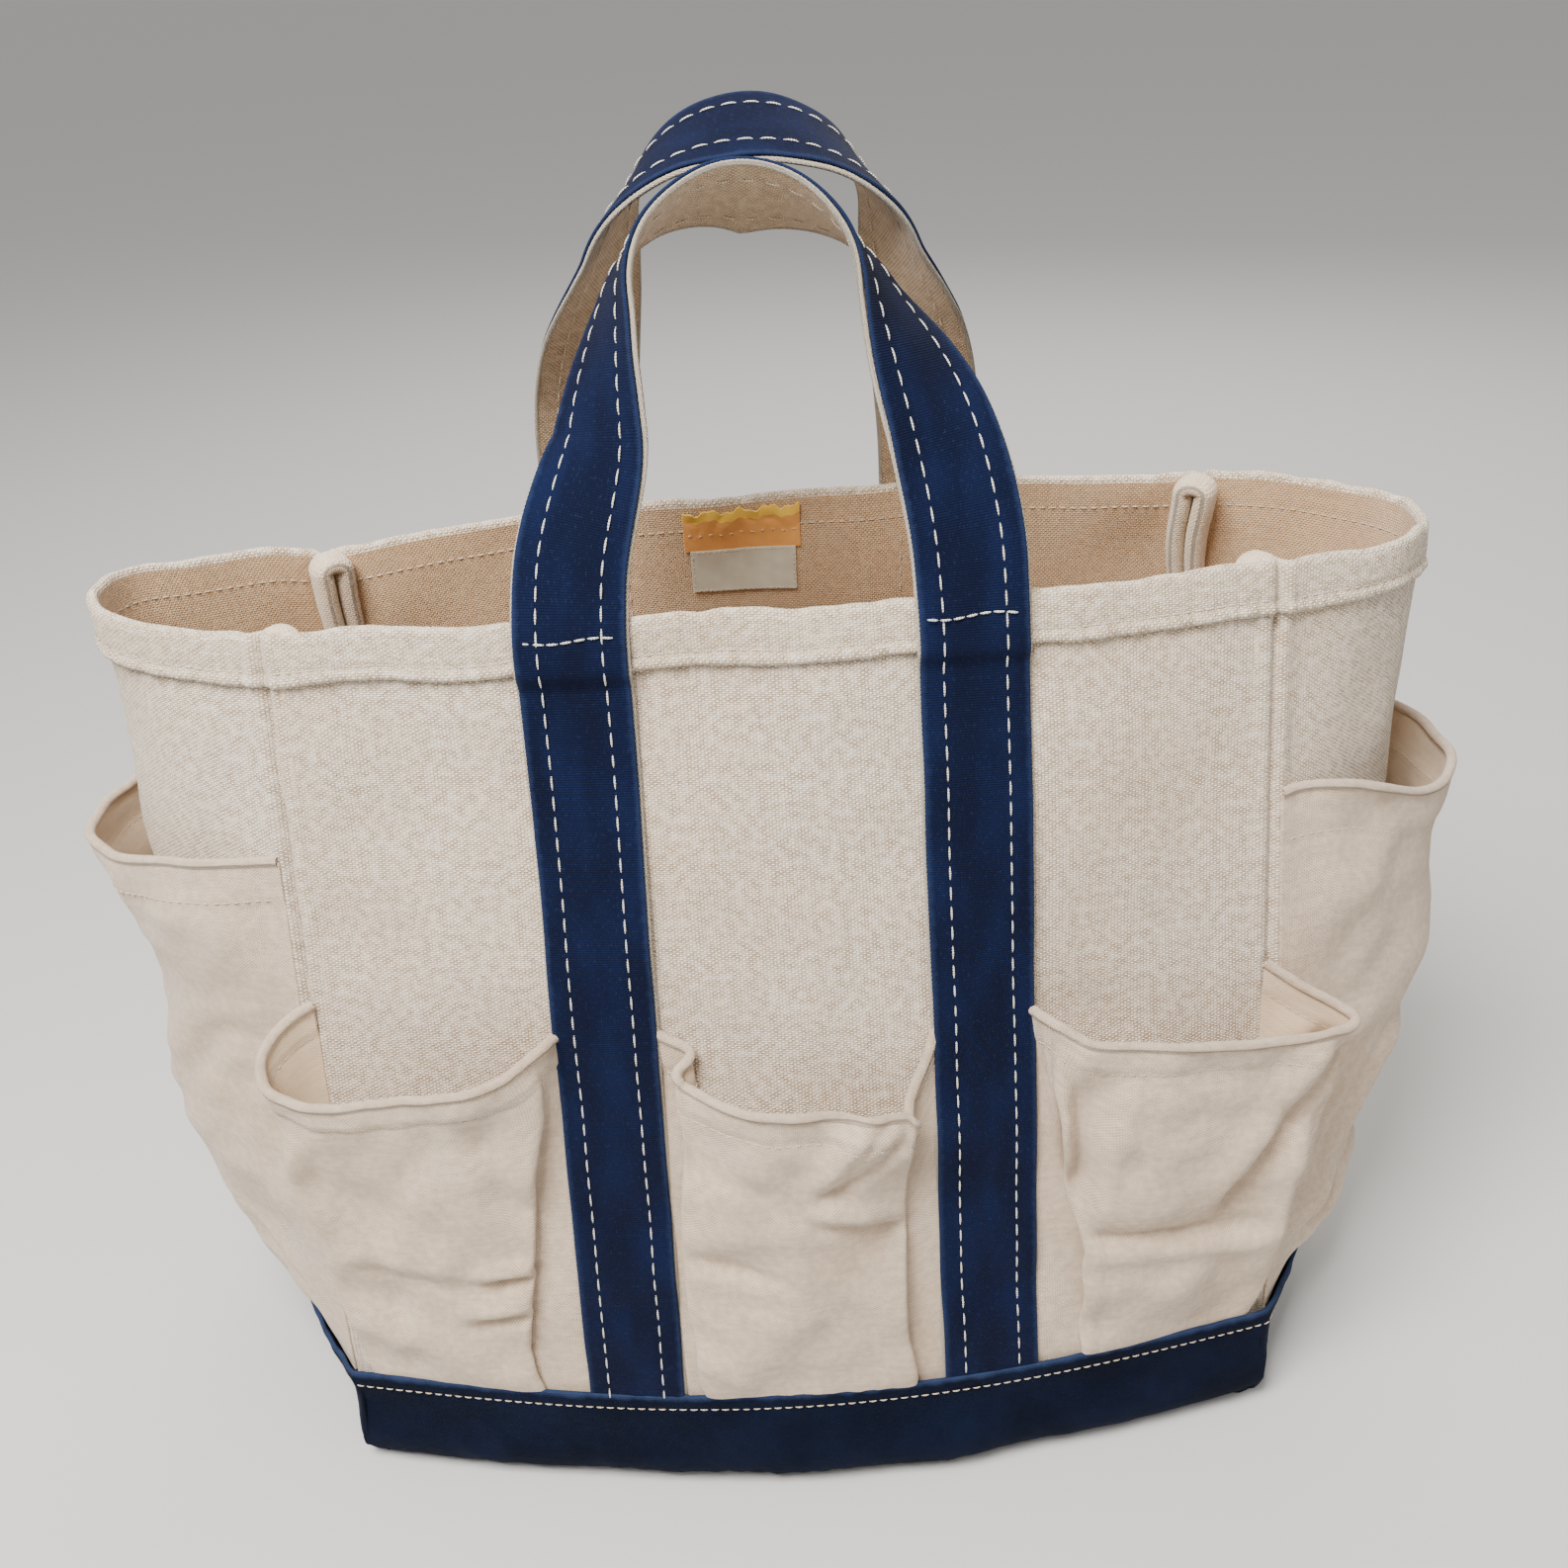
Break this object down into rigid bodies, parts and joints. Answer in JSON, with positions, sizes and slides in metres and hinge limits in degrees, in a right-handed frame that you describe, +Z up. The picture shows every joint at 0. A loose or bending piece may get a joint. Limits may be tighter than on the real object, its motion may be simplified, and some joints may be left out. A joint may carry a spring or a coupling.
{
  "type": "pocketed canvas tool tote",
  "caption": "Free-standing oblong canvas tool tote with a dark base, pockets all round the outside and two strap handles that fold outward.",
  "frame": {"origin": "centre of the bag's footprint on the surface it stands on", "axes": "+X along the long side towards the viewer's right, +Y from the front towards the back, +Z up"},
  "size_m": [0.5032, 0.2488, 0.4864],
  "materials": {
    "natural canvas": "heavy plain-weave duck, matt",
    "natural canvas inside": "heavy plain-weave duck, matt",
    "pocket canvas": "lighter duck, matt, creased",
    "natural webbing": "woven cotton strap backing, matt",
    "navy strap tape": "cross-ribbed cotton tape, matt",
    "navy base canvas": "heavy canvas, matt, faded edges",
    "woven label": "blank satin weave",
    "orange tab cloth": "plain cloth with a pinked edge"
  },
  "bodies": {
    "bag": {"front_panel": "natural canvas", "front_hem": "natural canvas", "right_panel": "natural canvas", "right_hem": "natural canvas", "back_panel": "natural canvas", "back_hem": "natural canvas", "left_panel": "natural canvas", "left_hem": "natural canvas", "base_boat": "navy base canvas", "floor_panel": "natural canvas inside", "front_left_tuck": "natural canvas inside", "front_right_tuck": "natural canvas inside", "back_right_tuck": "natural canvas inside", "back_left_tuck": "natural canvas inside", "inner_tab": "orange tab cloth", "inner_label": "woven label", "front_centre_pocket": "pocket canvas", "front_left_pocket": "pocket canvas", "front_right_pocket": "pocket canvas", "front_left_leg_backing": "natural webbing", "front_left_leg_tape": "navy strap tape", "front_right_leg_backing": "natural webbing", "front_right_leg_tape": "navy strap tape", "back_centre_pocket": "pocket canvas", "back_left_pocket": "pocket canvas", "back_right_pocket": "pocket canvas", "back_left_leg_backing": "natural webbing", "back_left_leg_tape": "navy strap tape", "back_right_leg_backing": "natural webbing", "back_right_leg_tape": "navy strap tape", "left_end_pocket": "pocket canvas", "right_end_pocket": "pocket canvas"},
    "front_handle": {"front_handle_backing": "natural webbing", "front_handle_tape": "navy strap tape"},
    "back_handle": {"back_handle_backing": "natural webbing", "back_handle_tape": "navy strap tape"}
  },
  "joints": [
    {"name": "front_handle_fold", "type": "hinge", "parent": "bag", "child": "front_handle", "pos_m": [0, -0.06103, 0.344], "axis": [1, 0, 0], "range_deg": [0, 150]},
    {"name": "back_handle_fold", "type": "hinge", "parent": "bag", "child": "back_handle", "pos_m": [0, 0.06103, 0.344], "axis": [-1, 0, 0], "range_deg": [0, 150]}
  ]
}
